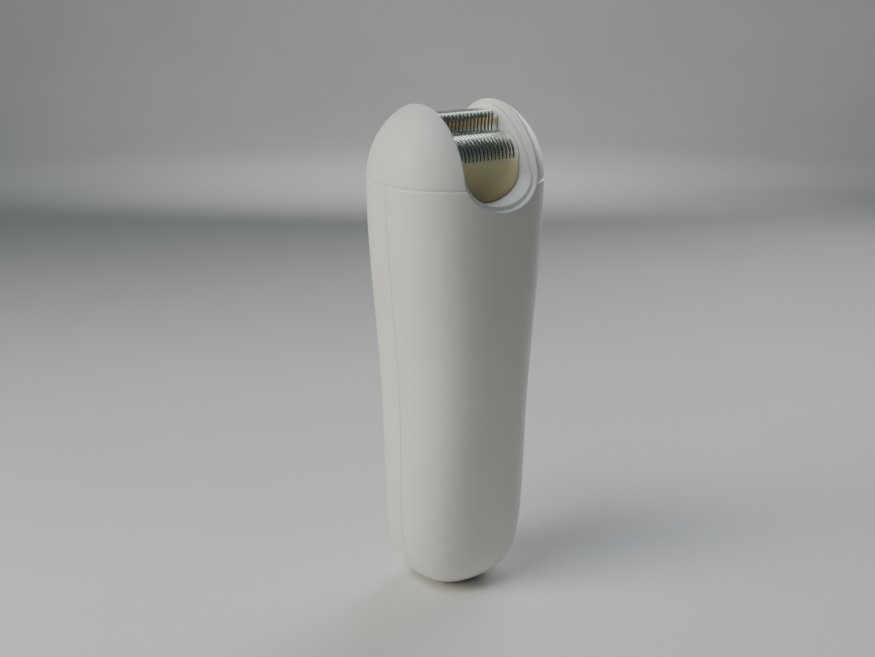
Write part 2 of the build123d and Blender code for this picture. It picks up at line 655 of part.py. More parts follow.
def power_slider():
    """Cap that follows the handle, ribbed for the thumb, on a stem through the window."""
    half = SLIDER_HALF_HEIGHT
    block = box(-SLIDER_HALF_WIDTH, SLIDER_HALF_WIDTH, 15, 26, SLIDER_Z - half, SLIDER_Z + half)
    block = fillet(block.edges().filter_by(Axis.Y), 3.0)
    above = handle_form(-1.5, 30, 80) - handle_form(-0.45, 28, 82)
    cap = above & block
    for i in range(5):
        z = SLIDER_Z - 4 + 2 * i
        cap += rod_x(0.4, -2.8, 2.8, handle_half_depth(z) + 1.45, z)
    stem = box(-STEM_HALF_WIDTH, STEM_HALF_WIDTH, 14.0, 21.0, SLIDER_Z - STEM_HALF_HEIGHT,
               SLIDER_Z + STEM_HALF_HEIGHT)
    flange = box(-4.2, 4.2, 15.6, 16.8, SLIDER_Z - 5, SLIDER_Z + 5)
    return cap + stem + flange


def release_button():
    cap = box(-BUTTON_HALF_WIDTH, BUTTON_HALF_WIDTH, BUTTON_FOOT_Y, BUTTON_FACE_Y,
              BUTTON_Z - BUTTON_HALF_HEIGHT, BUTTON_Z + BUTTON_HALF_HEIGHT)
    cap = fillet(cap.edges().filter_by(Axis.Y), 1.2)
    for i in range(3):
        cap -= rod_x(0.3, -3, 3, BUTTON_FACE_Y + 0.1, BUTTON_Z - 1.3 + 1.3 * i)
    flange = box(-5.6, 5.6, 18.8, 19.8, BUTTON_Z - 3.6, BUTTON_Z + 3.6)
    return cap + flange


def release_spring():
    """Bowed leaf between the chassis and the release button."""
    top = BUTTON_FOOT_Y - 0.1
    end = top - 1.8
    sheet = 0.3
    outside = Polyline((-6.0, end), (-3.0, top), (3.0, top), (6.0, end))
    inside = Polyline((6.0, end - sheet), (3.0, top - sheet), (-3.0, top - sheet), (-6.0, end - sheet))
    ends = Line((-6.0, end - sheet), (-6.0, end)) + Line((6.0, end), (6.0, end - sheet))
    leaf = extrude(make_face(outside + inside + ends), 3)
    return Pos(0, 0, BUTTON_Z - 1.5) * leaf


def charging_socket():
    sleeve = rod_z(SOCKET_RADIUS - 0.02, 0, 10, 0, 0) - rod_z(SOCKET_BORE, -1, 8.6, 0, 0)
    return sleeve + rod_z(5.2, 8.0, 10, 0, 0) - rod_z(SOCKET_BORE, -1, 8.6, 0, 0)


front, rear = handle_shells()
save("front_shell", front)
save("rear_shell", rear)
save("shell_screws", shell_screws())
ear = right_ear_cover()
save("right_ear_cover", ear)
save("left_ear_cover", mirror(ear, Plane.YZ))
save("right_ear_floor", ear_floor(True))
save("left_ear_floor", mirror(ear_floor(False), Plane.YZ))
save("ear_floor_screws", ear_floor_screws())
save("head_saddle", saddle())
save("slotted_guard", guard())
plate = bearing_plate()
save("right_bearing_plate", plate)
save("left_bearing_plate", mirror(plate, Plane.YZ))
save("drum_bushes", drum_bushes())
for name, y in (("front", -DRUM_Y), ("rear", DRUM_Y)):
    save(name + "_tweezer_discs", tweezer_discs(y))
    save(name + "_drum_hub", drum_hub(y))
    save(name + "_drum_shaft", drum_shaft(y))
drive_gears()
save("drive_chassis", drive_chassis())
save("idler_axle", rod_x(SHAFT_RADIUS, PLATE_B[0], SHAFT_END_X + 0.2, DRUM_Y, IDLER_Z))
save("lay_shaft", rod_x(SHAFT_RADIUS, PINION_RADIUS + 0.7, SHAFT_END_X, DRUM_Y, LAY_Z))
save("lay_shaft_bushes", lay_shaft_bushes())
save("motor_screws", motor_screws())
save("motor_can", motor_can())
save("motor_magnets", motor_magnets())
save("motor_end_cap", motor_end_cap())
save("motor_rotor", motor_rotor())
save("motor_shaft", rod_z(MOTOR_SHAFT_RADIUS, MOTOR_BOTTOM - 0.5, PINION_Z + 1.8, 0, DRUM_Y))
save("top_deck", top_deck())
save("battery_cell", battery_cell())
save("battery_contacts", battery_contacts())
save("battery_cradle", battery_cradle())
save("circuit_board", circuit_board())
save("board_components", board_components())
save("slide_switch", slide_switch())
save("power_slider", power_slider())
save("release_button", release_button())
save("release_spring", release_spring())
save("status_light", rod_y(LIGHT_RADIUS, 17.5, handle_half_depth(LIGHT_Z), 0, LIGHT_Z))
save("charging_socket", charging_socket())
save("charging_pin", rod_z(0.95, 1.2, 8.6, 0, 0))
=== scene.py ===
"""Looks of the epilator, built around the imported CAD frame. Lengths are in metres."""
import json
import math

import bmesh
import bpy
import numpy as np
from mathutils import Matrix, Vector


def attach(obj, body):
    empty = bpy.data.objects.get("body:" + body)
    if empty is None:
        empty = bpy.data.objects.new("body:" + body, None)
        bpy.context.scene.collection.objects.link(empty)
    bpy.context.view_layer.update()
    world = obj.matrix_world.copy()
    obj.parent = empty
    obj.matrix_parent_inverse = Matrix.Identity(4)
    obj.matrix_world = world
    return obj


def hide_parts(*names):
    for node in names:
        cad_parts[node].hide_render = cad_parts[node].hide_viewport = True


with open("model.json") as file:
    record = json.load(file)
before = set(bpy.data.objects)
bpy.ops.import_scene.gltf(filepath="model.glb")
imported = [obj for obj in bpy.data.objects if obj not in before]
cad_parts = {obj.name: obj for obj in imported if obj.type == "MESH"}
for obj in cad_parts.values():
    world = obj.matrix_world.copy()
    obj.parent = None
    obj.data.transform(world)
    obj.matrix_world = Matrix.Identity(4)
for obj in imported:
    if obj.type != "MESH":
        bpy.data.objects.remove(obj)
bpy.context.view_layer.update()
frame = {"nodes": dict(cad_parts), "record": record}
MM = 0.001

# ---------------------------------------------------------------- outer form
# The same driving dimensions as the CAD part, in millimetres.
SEAM_Z = 127.5
SEAM_OVERLAP = 0.1
SEAM_GROOVE = 0.22
SEAM_GROOVE_HALF_HEIGHT = 0.5
HALF_WIDTH = 25.8
HALF_DEPTH = 23.05
WAIST_HALF_WIDTH = 21.35
WAIST_Z = 52.0
FOOT_HALF_DEPTH = 18.6
FOOT_Z = 30.0
PLAN_EXPONENT = 2.45
DOME_HEIGHT = 25.0
HEAD_WIDTH_EXPONENT = 2.4
HEAD_DEPTH_EXPONENT = 1.8
END_WIDTH_RISE = 34.0
END_DEPTH_RISE = 16.0
END_WIDTH_EXPONENT = 3.0
END_DEPTH_EXPONENT = 2.6
END_CUT = 0.25
WALL = 2.0
HEAD_WALL = 1.6
PARTING_GAP = 0.05

OPENING_HALF_WIDTH = 13.5
OPENING_DEPTH = 9.5
OPENING_Z = 130.0
SADDLE_OVERLAP = 0.25
SADDLE_WALL = 1.55
ARCH_Z = 118.5
ARCH_HEIGHT = 30.0
ARCH_HALF_DEPTH = 21.0
ARCH_EXPONENT = 1.8
NOTCH_RIM = 1.4
END_FLOOR = 2.4


def rounded(ratio, exponent):
    """Superellipse ordinate: 1 at ratio 0, falling to 0 at ratio 1."""
    ratio = np.clip(ratio, 0.0, 1.0)
    return np.maximum(1 - ratio ** exponent, 0.0) ** (1 / exponent)


def handle_half_width(z):
    rise = np.clip((z - WAIST_Z) / (SEAM_Z - WAIST_Z), 0, 1)
    side = WAIST_HALF_WIDTH + (HALF_WIDTH - WAIST_HALF_WIDTH) * (1 - np.cos(np.pi * rise)) / 2
    return side * rounded(1 - (z + END_CUT) / END_WIDTH_RISE, END_WIDTH_EXPONENT)


def handle_half_depth(z):
    drop = np.clip((SEAM_Z - z) / (SEAM_Z - FOOT_Z), 0, 1.4)
    side = HALF_DEPTH - (HALF_DEPTH - FOOT_HALF_DEPTH) * drop ** 1.6
    return side * rounded(1 - (z + END_CUT) / END_DEPTH_RISE, END_DEPTH_EXPONENT)


def head_half_width(z):
    return HALF_WIDTH * rounded((z - SEAM_Z) / DOME_HEIGHT, HEAD_WIDTH_EXPONENT)


def head_half_depth(z):
    return HALF_DEPTH * rounded((z - SEAM_Z) / DOME_HEIGHT, HEAD_DEPTH_EXPONENT)


# ---------------------------------------------------------------- distance fields
def section_distance(p, half_width, half_depth):
    """Distance from points to a form whose horizontal sections are superellipses."""
    x, y, z = p
    step = 0.02
    a, b = np.maximum(half_width(z), 0.3), np.maximum(half_depth(z), 0.3)
    da = (half_width(z + step) - half_width(z - step)) / (2 * step)
    db = (half_depth(z + step) - half_depth(z - step)) / (2 * step)
    n = PLAN_EXPONENT
    rx, ry = np.abs(x) / a + 1e-9, np.abs(y) / b + 1e-9
    px, py = rx ** (n - 1), ry ** (n - 1)
    total = px * rx + py * ry
    ratio = total ** (1 / n)
    scale = ratio ** (1 - n)
    slope_z = (px * rx * da / a + py * ry * db / b)
    slope = scale * np.sqrt((px / a) ** 2 + (py / b) ** 2 + slope_z ** 2)
    return (ratio - 1) / np.maximum(slope, 1e-6)


def handle_distance(p):
    return section_distance(p, handle_half_width, handle_half_depth)


def head_distance(p):
    return section_distance(p, head_half_width, head_half_depth)


def opening_distance(p, grow=0.0):
    """Distance to the U-shaped opening between the ears, widened by grow."""
    half = OPENING_HALF_WIDTH + grow
    deep = OPENING_DEPTH + grow
    below = np.minimum(p[2] - OPENING_Z, 0)
    rx, rz = p[0] / half, below / deep
    ratio = np.sqrt(rx ** 2 + rz ** 2) + 1e-9
    slope = np.sqrt((rx / half) ** 2 + (rz / deep) ** 2) / ratio
    return (ratio - 1) / np.maximum(slope, 1e-6)


def arch_distance(p, inset=0.0):
    """Distance to the saddle's arch, seen from the side."""
    half, high, n = ARCH_HALF_DEPTH - inset, ARCH_HEIGHT - inset, ARCH_EXPONENT
    ry = np.abs(p[1]) / half + 1e-9
    rz = np.maximum(p[2] - ARCH_Z, 0) / high + 1e-9
    ratio = (ry ** n + rz ** n) ** (1 / n)
    slope = ratio ** (1 - n) * np.hypot(ry ** (n - 1) / half, rz ** (n - 1) / high)
    return (ratio - 1) / np.maximum(slope, 1e-6)


def seam_groove(z):
    """Depth of the shallow groove that softens the seam between handle and head."""
    return SEAM_GROOVE * np.exp(-((z - SEAM_Z) / SEAM_GROOVE_HALF_HEIGHT) ** 2)


def notch_rim(p, play=0.0):
    """Band along the edge of the opening, outside the saddle's arch."""
    return np.maximum(opening_distance(p, NOTCH_RIM + play), -arch_distance(p, play - 0.3))


def block_distance(p, low, high, radius=0.0):
    """Distance to a box with rounded edges."""
    out = np.zeros_like(p[0])
    inner = np.full_like(p[0], -1e9)
    for axis in range(3):
        d = np.abs(p[axis] - (low[axis] + high[axis]) / 2) - (high[axis] - low[axis]) / 2 + radius
        out = out + np.maximum(d, 0) ** 2
        inner = np.maximum(inner, d)
    return np.sqrt(out) + np.minimum(inner, 0) - radius


def rod_distance(p, axis, centre, radius, low, high):
    """Distance to a round rod along an axis, between two stations."""
    others = [i for i in range(3) if i != axis]
    reach = np.hypot(p[others[0]] - centre[0], p[others[1]] - centre[1]) - radius
    ends = np.maximum(low - p[axis], p[axis] - high)
    return np.maximum(reach, ends)


def meet(a, b, radius=0.0):
    """Intersection of two fields, with its edge rounded to radius."""
    if radius <= 0:
        return np.maximum(a, b)
    u, v = np.maximum(a + radius, 0), np.maximum(b + radius, 0)
    return np.minimum(-radius, np.maximum(a, b)) + np.hypot(u, v)


def join(a, b, radius=0.0):
    return -meet(-a, -b, radius)


# ---------------------------------------------------------------- meshing
def stations(*spans):
    """Grid stations from (end, step) pairs after a starting value."""
    values = [spans[0]]
    for end, step in spans[1:]:
        count = max(1, round((end - values[-1]) / step))
        values += list(np.linspace(values[-1], end, count + 1)[1:])
    return np.array(values)


def gradient(field, points, step=0.01):
    slopes = []
    for axis in range(3):
        shift = np.zeros((1, 3))
        shift[0, axis] = step
        ahead = field((points + shift).T)
        behind = field((points - shift).T)
        slopes.append((ahead - behind) / (2 * step))
    return np.stack(slopes, 1)


def surface_net(field, xs, ys, zs):
    """Quads of the zero surface of a field, on a grid of any spacing."""
    grid = np.meshgrid(xs, ys, zs, indexing="ij")
    values = field(grid)
    shape = values.shape
    nodes = np.stack(grid, -1)
    cells = tuple(s - 1 for s in shape)
    total = np.zeros(cells + (3,))
    hits = np.zeros(cells)
    for axis in range(3):
        low = [slice(None)] * 3
        high = [slice(None)] * 3
        low[axis], high[axis] = slice(0, -1), slice(1, None)
        va, vb = values[tuple(low)], values[tuple(high)]
        crossing = (va < 0) != (vb < 0)
        with np.errstate(divide="ignore", invalid="ignore"):
            t = np.where(crossing, va / (va - vb), 0)
        place = nodes[tuple(low)] + t[..., None] * (nodes[tuple(high)] - nodes[tuple(low)])
        place = np.where(crossing[..., None], place, 0)
        rest = [i for i in range(3) if i != axis]
        for da in (0, 1):
            for db in (0, 1):
                part = [slice(None)] * 3
                part[rest[0]] = slice(da, da + cells[rest[0]])
                part[rest[1]] = slice(db, db + cells[rest[1]])
                total += place[tuple(part)]
                hits += crossing[tuple(part)]
    active = hits > 0
    index = np.full(cells, -1)
    index[active] = np.arange(active.sum())
    points = total[active] / hits[active][:, None]
    faces = []
    for axis in range(3):
        low = [slice(1, -1)] * 3
        high = [slice(1, -1)] * 3
        low[axis], high[axis] = slice(0, -1), slice(1, None)
        va, vb = values[tuple(low)], values[tuple(high)]
        crossing = (va < 0) != (vb < 0)
        where = np.argwhere(crossing)
        for other in range(3):
            if other != axis:
                where[:, other] += 1
        r0, r1 = [i for i in range(3) if i != axis]
        ring = []
        for d0, d1 in ((-1, -1), (0, -1), (0, 0), (-1, 0)):
            cell = where.copy()
            cell[:, r0] += d0
            cell[:, r1] += d1
            ring.append(index[cell[:, 0], cell[:, 1], cell[:, 2]])
        quads = np.stack(ring, 1)
        outward = (va < 0)[crossing]
        if axis == 1:
            outward = ~outward
        quads[~outward] = quads[~outward][:, ::-1]
        faces.append(quads)
    return points, np.concatenate(faces)


def settle(field, points, rounds=4):
    """Move points onto the zero surface of the field."""
    for _ in range(rounds):
        value = field(points.T)
        slope = gradient(field, points)
        size = np.maximum((slope ** 2).sum(1), 0.05)
        step = value / size
        points = points - np.clip(step, -0.4, 0.4)[:, None] * slope
    return points


def add_mesh(name, points, faces, normals=None):
    """Mesh object from millimetre points."""
    mesh = bpy.data.meshes.new(name)
    mesh.vertices.add(len(points))
    mesh.vertices.foreach_set("co", (np.asarray(points) * MM).astype(np.float32).ravel())
    faces = np.asarray(faces)
    mesh.loops.add(faces.size)
    mesh.loops.foreach_set("vertex_index", faces.ravel().astype(np.int32))
    mesh.polygons.add(len(faces))
    mesh.polygons.foreach_set("loop_start", np.arange(0, faces.size, faces.shape[1], dtype=np.int32))
    mesh.update(calc_edges=True)
    mesh.validate()
    mesh.polygons.foreach_set("use_smooth", np.ones(len(mesh.polygons), bool))
    if normals is not None:
        mesh.normals_split_custom_set_from_vertices([tuple(n) for n in normals])
    piece = bpy.data.objects.new(name, mesh)
    bpy.context.scene.collection.objects.link(piece)
    return piece


def moulded(name, field, xs, ys, zs, mirror_x=False):
    """Piece whose surface is the zero surface of a field."""
    points, faces = surface_net(field, xs, ys, zs)
    points = settle(field, points)
    slope = gradient(field, points)
    normals = slope / np.maximum(np.linalg.norm(slope, axis=1), 1e-6)[:, None]
    if mirror_x:
        points = points * (-1, 1, 1)
        normals = normals * (-1, 1, 1)
        faces = faces[:, ::-1]
    return add_mesh(name, points, faces, normals)


# ---------------------------------------------------------------- handle shells
SEAM_EDGE = 0.6            # radii of the handle's edges
OPENING_EDGE = 0.45
FOOT_EDGE = 0.3
PARTING_EDGE = 0.14
SCREW_SITES = [(-14.5, 30.0), (14.5, 30.0), (-17.0, 84.0), (17.0, 84.0)]
SCREW_HEAD_RADIUS = 2.0
SCREW_HEAD_HEIGHT = 1.6
SCREW_HEAD_Y = 11.0
SCREW_SHANK_RADIUS = 1.1
BOSS_RADIUS = 3.2
SOCKET_RADIUS = 3.9
SLIDER_Z = 54.0
SLIDER_HALF_WIDTH = 4.6
SLIDER_HALF_HEIGHT = 8.0
SLIDER_PROUD = 1.5         # how far the slider stands out of the handle
SLIDER_TRAVEL = 4.0
STEM_HALF_WIDTH = 2.5
STEM_HALF_HEIGHT = 3.2
BUTTON_Z = 112.0
BUTTON_HALF_WIDTH = 4.5
BUTTON_HALF_HEIGHT = 2.5
BUTTON_FACE_Y = 23.0
BUTTON_FOOT_Y = 18.0
LIGHT_Z = 72.0
LIGHT_RADIUS = 1.25
PLAY = 0.2                 # between a control and the edge of its window
FAR = 40.0                 # past the back of the handle


def handle_body(p):
    """The solid handle with its seam edge, bottom flat and opening, before it is hollowed."""
    z = p[2]
    body = meet(handle_distance(p) + seam_groove(z), z - (SEAM_Z + SEAM_OVERLAP), SEAM_EDGE)
    body = meet(body, -opening_distance(p), OPENING_EDGE)
    body = meet(body, -z, FOOT_EDGE)
    return np.maximum(body, -rod_distance(p, 2, (0, 0), SOCKET_RADIUS, -5, 5))


def hollow(p, body):
    """The body with the room inside taken out."""
    cavity = np.maximum(handle_distance(p) + WALL, END_FLOOR - p[2])
    cavity = np.maximum(cavity, -notch_rim(p))
    return meet(body, -cavity, 0.2)


def front_shell_field(p):
    return meet(hollow(p, handle_body(p)), p[1] + PARTING_GAP, PARTING_EDGE)


def rear_shell_field(p):
    body = handle_body(p)
    shell = hollow(p, body)
    for sx, sz in SCREW_SITES:
        boss = np.maximum(body, rod_distance(p, 1, (sx, sz), BOSS_RADIUS, 0, FAR))
        shell = np.minimum(shell, boss)
    for sx, sz in SCREW_SITES:
        recess = rod_distance(p, 1, (sx, sz), SCREW_HEAD_RADIUS + PLAY, SCREW_HEAD_Y, FAR)
        shell = meet(shell, -recess, 0.2)
        shell = np.maximum(shell, -rod_distance(p, 1, (sx, sz), SCREW_SHANK_RADIUS + PLAY, -5, FAR))
    stem_x, stem_z = STEM_HALF_WIDTH + PLAY, STEM_HALF_HEIGHT + PLAY
    slider_window = block_distance(p, (-stem_x, 10, SLIDER_Z - stem_z),
                                   (stem_x, FAR, SLIDER_Z + stem_z + SLIDER_TRAVEL), 0.3)
    shell = meet(shell, -slider_window, 0.15)
    button_x, button_z = BUTTON_HALF_WIDTH + PLAY, BUTTON_HALF_HEIGHT + PLAY
    button_window = block_distance(p, (-button_x, 10, BUTTON_Z - button_z),
                                   (button_x, FAR, BUTTON_Z + button_z), 1.0)
    shell = meet(shell, -button_window, 0.25)
    shell = meet(shell, -rod_distance(p, 1, (0, LIGHT_Z), LIGHT_RADIUS + 0.05, 10, FAR), 0.15)
    return meet(shell, PARTING_GAP - p[1], PARTING_EDGE)


FRONT_X = stations(-26.6, (-19, 0.42), (19, 0.52), (26.6, 0.42))
FRONT_Y = stations(-23.8, (-17, 0.4), (-1.5, 0.6), (-0.4, 0.2), (0.2, 0.07))
FRONT_Z = stations(-0.8, (3, 0.35), (12, 0.6), (116, 1.1), (126.3, 0.35), (127.8, 0.12))
# Finer round the screw recesses, the light, the slider and the button.
REAR_X = stations(-26.6, (-20, 0.44), (-12, 0.27), (12, 0.52), (20, 0.27), (26.6, 0.44))
REAR_Y = stations(-0.2, (0.4, 0.07), (1.5, 0.2), (9, 0.6), (17, 0.3), (23.8, 0.4))
REAR_Z = stations(-0.8, (3, 0.35), (12, 0.6), (27, 1.1), (33, 0.3), (49, 1.1), (63, 0.5), (70.4, 1.1),
                  (73.6, 0.24), (81, 1.1), (87, 0.3), (108, 1.1), (126.3, 0.35), (127.8, 0.12))

front_shell = moulded("front_shell_skin", front_shell_field, FRONT_X, FRONT_Y, FRONT_Z)
rear_shell = moulded("rear_shell_skin", rear_shell_field, REAR_X, REAR_Y, REAR_Z)


# ---------------------------------------------------------------- head
EAR_OPENING_EDGE = 0.75    # radii of the ears' and the saddle's edges
EAR_SEAM_EDGE = 0.1
SADDLE_EDGE = 0.14
EAR_FLANGE = 1.0
FLANGE_LAP = 1.6
PARTING_DEPTH = 0.07
PARTING_HALF_WIDTH = 0.14
DRUM_Y = 7.0
DRUM_Z = 134.7
SHAFT_HOLE_RADIUS = 2.0


def ear_field(p):
    x, y, z = p
    dome = head_distance(p)
    groove = PARTING_DEPTH * np.exp(-(y / PARTING_HALF_WIDTH) ** 2) + seam_groove(z)
    body = meet(dome + groove, -opening_distance(p), EAR_OPENING_EDGE)
    body = meet(body, SEAM_Z - SEAM_OVERLAP - z, EAR_SEAM_EDGE)
    inside_arch = arch_distance(p, FLANGE_LAP)
    room = np.maximum(dome + HEAD_WALL, np.minimum(OPENING_HALF_WIDTH + EAR_FLANGE - x, inside_arch))
    return meet(body, -room, 0.15)


def saddle_field(p):
    outer = opening_distance(p, SADDLE_OVERLAP)
    inner = opening_distance(p, SADDLE_OVERLAP - SADDLE_WALL)
    body = meet(meet(outer, arch_distance(p), SADDLE_EDGE), -inner, SADDLE_EDGE)
    for side in (1, -1):
        hole = rod_distance(p, 0, (side * DRUM_Y, DRUM_Z), SHAFT_HOLE_RADIUS, -20, 20)
        body = np.maximum(body, -hole)
    return body


EAR_X = stations(13.0, (15, 0.25), (26.4, 0.36))
EAR_Y = stations(-23.8, (-0.7, 0.36), (0.7, 0.1), (23.8, 0.36))
EAR_Z = stations(127.2, (129.0, 0.13), (153, 0.34))
right_ear = moulded("right_ear_skin", ear_field, EAR_X, EAR_Y, EAR_Z)
left_ear = moulded("left_ear_skin", ear_field, EAR_X, EAR_Y, EAR_Z, mirror_x=True)

SADDLE_X = stations(-13.7, (-11, 0.22), (11, 0.36), (13.7, 0.22))
SADDLE_Y = stations(-21.5, (-17, 0.2), (17, 0.4), (21.5, 0.2))
SADDLE_Z = stations(120.0, (127, 0.24), (148.8, 0.32))
saddle = moulded("head_saddle_liner", saddle_field, SADDLE_X, SADDLE_Y, SADDLE_Z)


# ---------------------------------------------------------------- metal guard
GUARD_HALF_LENGTH = 12.0
GUARD_SHEET = 0.5
GUARD_FRONT = 14.4
HUMP_RADIUS = 6.9
HUMP_Z = 134.3
RIDGE_HALF_WIDTH = 5.0
RIDGE_NECK = 4.75
RIDGE_TOP_Z = 147.0
RIDGE_ROUND = 2.3
SLOT_COUNT = 15
SLOT_PITCH = 1.4
SLOT_WIDTH = 0.44
SLOT_BOTTOM_Z = 134.0
GUARD_FIT = SADDLE_WALL - SADDLE_OVERLAP + 0.15    # 0.15 clear of the saddle's inside


def hermite(start, end, leave, arrive, steps):
    """Points of a cubic from start to end, without the start."""
    start, end = np.array(start), np.array(end)
    reach = np.linalg.norm(end - start)
    t = np.linspace(0, 1, steps + 1)[1:, None]
    h00, h10 = 2 * t ** 3 - 3 * t ** 2 + 1, t ** 3 - 2 * t ** 2 + t
    h01, h11 = 3 * t ** 2 - 2 * t ** 3, t ** 3 - t ** 2
    return list(h00 * start + h10 * reach * np.array(leave)
                + h01 * end + h11 * reach * np.array(arrive))


def guard_half_outline():
    """Outline above the slots' lower ends, from the skirt to the middle of the ridge, as (y, z)."""
    hump_y = GUARD_FRONT - HUMP_RADIUS
    valley_y = RIDGE_NECK + 0.9
    stop = math.acos((valley_y - hump_y) / HUMP_RADIUS)
    points = [np.array((GUARD_FRONT, SLOT_BOTTOM_Z))]
    for angle in np.linspace(0, stop, 30):
        place = (hump_y + HUMP_RADIUS * math.cos(angle), HUMP_Z + HUMP_RADIUS * math.sin(angle))
        points.append(np.array(place))
    valley = points[-1]
    corner = (RIDGE_NECK, valley[1] + 0.8)
    side_top = (RIDGE_HALF_WIDTH, RIDGE_TOP_Z - RIDGE_ROUND)
    crown = (RIDGE_HALF_WIDTH - RIDGE_ROUND, RIDGE_TOP_Z)
    points += hermite(valley, corner, (-1, 0.15), (0.05, 1), 6)
    points += hermite(corner, side_top, (0.05, 1), (0.02, 1), 8)
    points += hermite(side_top, crown, (0, 1), (-1, 0), 12)
    points += [np.array((crown[0] * (1 - i / 4), RIDGE_TOP_Z)) for i in range(1, 5)]
    return points


def offset_outline(outline, distance):
    """The outline moved by a distance to the left of its direction, or right if negative."""
    outline = np.array(outline)
    along = np.gradient(outline, axis=0)
    along /= np.linalg.norm(along, axis=1)[:, None]
    return outline + distance * np.stack([-along[:, 1], along[:, 0]], 1)


def guard_bottom(x):
    """Height of the skirt's lower edge, which follows the inside of the saddle."""
    share = min(abs(x) / (OPENING_HALF_WIDTH - GUARD_FIT), 1)
    return OPENING_Z - (OPENING_DEPTH - GUARD_FIT) * math.sqrt(1 - share ** 2)


def guard_stations():
    """X stations across the guard, and whether a slot lies after each."""
    first_slot = -SLOT_PITCH * (SLOT_COUNT - 1) / 2
    edges = []
    for i in range(SLOT_COUNT):
        centre = first_slot + i * SLOT_PITCH
        edges += [(centre - SLOT_WIDTH / 2, True), (centre + SLOT_WIDTH / 2, False)]
    # Closer together towards the ends, where the skirt's lower edge turns up steeply.
    end_band = [10.5, 10.9, 11.2, 11.45, 11.65, 11.8, 11.92, GUARD_HALF_LENGTH]
    return [(-x, False) for x in end_band[::-1]] + edges + [(x, False) for x in end_band]


def sheet_solid(outer, inner, present):
    """Quads of a sheet given as two grids of points, where present says which cells exist."""
    rows, columns = present.shape
    count = (rows + 1) * (columns + 1)
    points = np.concatenate([outer.reshape(-1, 3), inner.reshape(-1, 3)])

    def at(r, c, under):
        return r * (columns + 1) + c + (count if under else 0)

    faces = []
    for r in range(rows):
        for c in range(columns):
            if not present[r, c]:
                continue
            corners = [(r, c), (r, c + 1), (r + 1, c + 1), (r + 1, c)]
            faces.append([at(*k, False) for k in corners])
            faces.append([at(*k, True) for k in corners[::-1]])
            for i, (dr, dc) in enumerate(((-1, 0), (0, 1), (1, 0), (0, -1))):
                nr, nc = r + dr, c + dc
                if 0 <= nr < rows and 0 <= nc < columns and present[nr, nc]:
                    continue
                a, b = corners[i], corners[(i + 1) % 4]
                faces.append([at(*b, False), at(*a, False), at(*a, True), at(*b, True)])
    return points, np.array(faces)


def make_guard():
    half = guard_half_outline()
    front = [np.array((-y, z)) for y, z in half]
    over = front + [np.array((y, z)) for y, z in half[::-1][1:]]
    under = offset_outline(over, -GUARD_SHEET)
    columns = guard_stations()
    skirt_rows = 8
    outer, inner = [], []
    for edge, sheet_y in ((-1, -GUARD_FRONT), (1, GUARD_FRONT)):
        block_outer, block_inner = [], []
        for i in range(skirt_rows):
            share = i / skirt_rows
            row_outer, row_inner = [], []
            for x, slotted in columns:
                z = guard_bottom(x) + (SLOT_BOTTOM_Z - guard_bottom(x)) * share
                row_outer.append((x, sheet_y, z))
                row_inner.append((x, sheet_y - edge * GUARD_SHEET, z))
            block_outer.append(row_outer)
            block_inner.append(row_inner)
        if edge < 0:
            outer += block_outer + [[(x, y, z) for x, slotted in columns] for y, z in over]
            inner += block_inner + [[(x, y, z) for x, slotted in columns] for y, z in under]
        else:
            outer += block_outer[::-1]
            inner += block_inner[::-1]
    outer, inner = np.array(outer), np.array(inner)
    present = np.ones((len(outer) - 1, len(columns) - 1), bool)
    for c, (x, slotted) in enumerate(columns[:-1]):
        if slotted:
            present[skirt_rows:skirt_rows + len(over) - 1, c] = False
    points, faces = sheet_solid(outer, inner, present)
    used = np.unique(faces)
    renumber = np.full(len(points), -1)
    renumber[used] = np.arange(len(used))
    piece = add_mesh("slotted_guard_sheet", points[used], renumber[faces])
    soften_edges(piece, 0.07, 50, 2)
    return piece


def soften_edges(piece, width, angle, segments):
    """Round a piece's sharp edges, width in millimetres."""
    bevel = piece.modifiers.new("edge", "BEVEL")
    bevel.width = width * MM
    bevel.segments = segments
    bevel.limit_method = "ANGLE"
    bevel.angle_limit = math.radians(angle)
    weighted = piece.modifiers.new("normals", "WEIGHTED_NORMAL")
    weighted.weight = 50
    weighted.keep_sharp = True


guard = make_guard()


# ---------------------------------------------------------------- tweezer drums
DISC_RADIUS = 6.35
DISC_THICKNESS = 0.3
HUB_RADIUS = 3.6


def turned(outline, steps, centre, axis):
    """Points and quads of a closed outline of (station, radius) turned about an axis."""
    ring = len(outline)
    points = []
    for i in range(steps):
        angle = 2 * math.pi * i / steps
        for station, radius in outline:
            u, v = radius * math.cos(angle), radius * math.sin(angle)
            spot = {"x": (station, u, v), "y": (v, station, u), "z": (u, v, station)}[axis]
            points.append(tuple(a + b for a, b in zip(spot, centre)))
    faces = []
    for i in range(steps):
        j = (i + 1) % steps
        for k in range(ring):
            m = (k + 1) % ring
            faces.append((i * ring + k, i * ring + m, j * ring + m, j * ring + k))
    return points, faces


def tweezer_discs(name, y):
    half, lip = DISC_THICKNESS / 2, 0.06
    outline = [(-half, HUB_RADIUS), (half, HUB_RADIUS), (half, DISC_RADIUS - lip),
               (half - lip, DISC_RADIUS), (lip - half, DISC_RADIUS), (-half, DISC_RADIUS - lip)]
    points, faces = [], []
    for i in range(SLOT_COUNT):
        x = (i - (SLOT_COUNT - 1) / 2) * SLOT_PITCH
        more, quads = turned(outline, 96, (x, y, DRUM_Z), "x")
        faces += [tuple(v + len(points) for v in quad) for quad in quads]
        points += more
    piece = add_mesh(name, points, faces)
    sharpen(piece, 35)
    return piece


